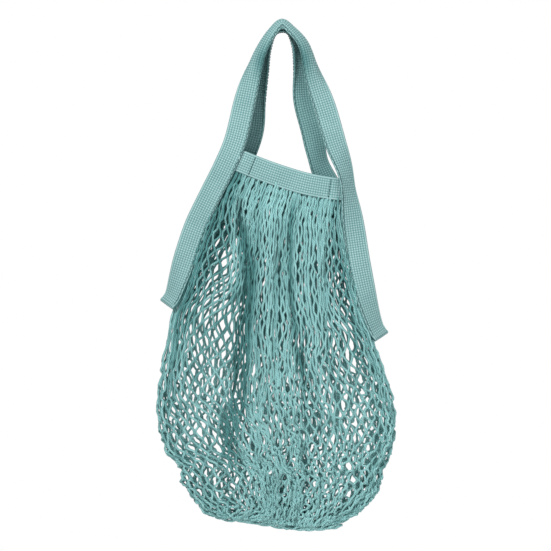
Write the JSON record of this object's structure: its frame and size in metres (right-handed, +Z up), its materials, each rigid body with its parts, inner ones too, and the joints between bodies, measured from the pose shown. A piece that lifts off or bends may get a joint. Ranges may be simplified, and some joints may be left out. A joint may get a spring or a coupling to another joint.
{
  "type": "mesh produce bag",
  "caption": "Knotless cotton net bag with two woven tape handles that run down both side slits, a straight mouth band front and rear, and a gathered bottom seam.",
  "frame": {"origin": "the point that the bag hangs from, at the inside top of the two handle loops", "axes": "+Z up along the hanging bag, +X to the right seen from the front, -Y out of the front face"},
  "size_m": [0.3005, 0.0644, 0.6442],
  "materials": {
    "woven_tape": "matt woven cotton tape with lengthwise ribs",
    "net_cord": "matt soft-spun cotton cord",
    "sewing_thread": "matt sewing thread"
  },
  "bodies": {
    "pouch": {"front_pouch_net": "net_cord", "rear_pouch_net": "net_cord", "bottom_gathering_seam": "net_cord", "left_slit_fold": "woven_tape", "right_slit_fold": "woven_tape"},
    "front_side": {"front_upper_net": "net_cord", "front_mouth_band": "woven_tape", "front_left_slit_tape": "woven_tape", "front_right_slit_tape": "woven_tape", "front_left_slit_stitching": "sewing_thread", "front_right_slit_stitching": "sewing_thread", "front_left_band_stitching": "sewing_thread", "front_right_band_stitching": "sewing_thread"},
    "rear_side": {"rear_upper_net": "net_cord", "rear_mouth_band": "woven_tape", "rear_left_slit_tape": "woven_tape", "rear_right_slit_tape": "woven_tape", "rear_left_slit_stitching": "sewing_thread", "rear_right_slit_stitching": "sewing_thread", "rear_left_band_stitching": "sewing_thread", "rear_right_band_stitching": "sewing_thread"},
    "front_handle": {"front_handle_tape": "woven_tape", "front_handle_stitching": "sewing_thread"},
    "rear_handle": {"rear_handle_tape": "woven_tape", "rear_handle_stitching": "sewing_thread"}
  },
  "joints": [
    {"name": "front_mouth_opening", "type": "hinge", "parent": "pouch", "child": "front_side", "pos_m": [-0.0095, -0.0206, -0.3635], "axis": [0.9886, 0, -0.1507], "range_deg": [0, 35]},
    {"name": "rear_mouth_opening", "type": "hinge", "parent": "pouch", "child": "rear_side", "pos_m": [-0.0095, 0.0206, -0.3635], "axis": [-0.9886, 0, 0.1507], "range_deg": [0, 35]},
    {"name": "front_handle_fold", "type": "hinge", "parent": "front_side", "child": "front_handle", "pos_m": [-0.05, -0.0166, -0.15], "axis": [0.9649, 0, -0.2628], "range_deg": [0, 160]},
    {"name": "rear_handle_fold", "type": "hinge", "parent": "rear_side", "child": "rear_handle", "pos_m": [-0.05, 0.0166, -0.156], "axis": [-0.9649, 0, 0.2628], "range_deg": [0, 160]}
  ]
}
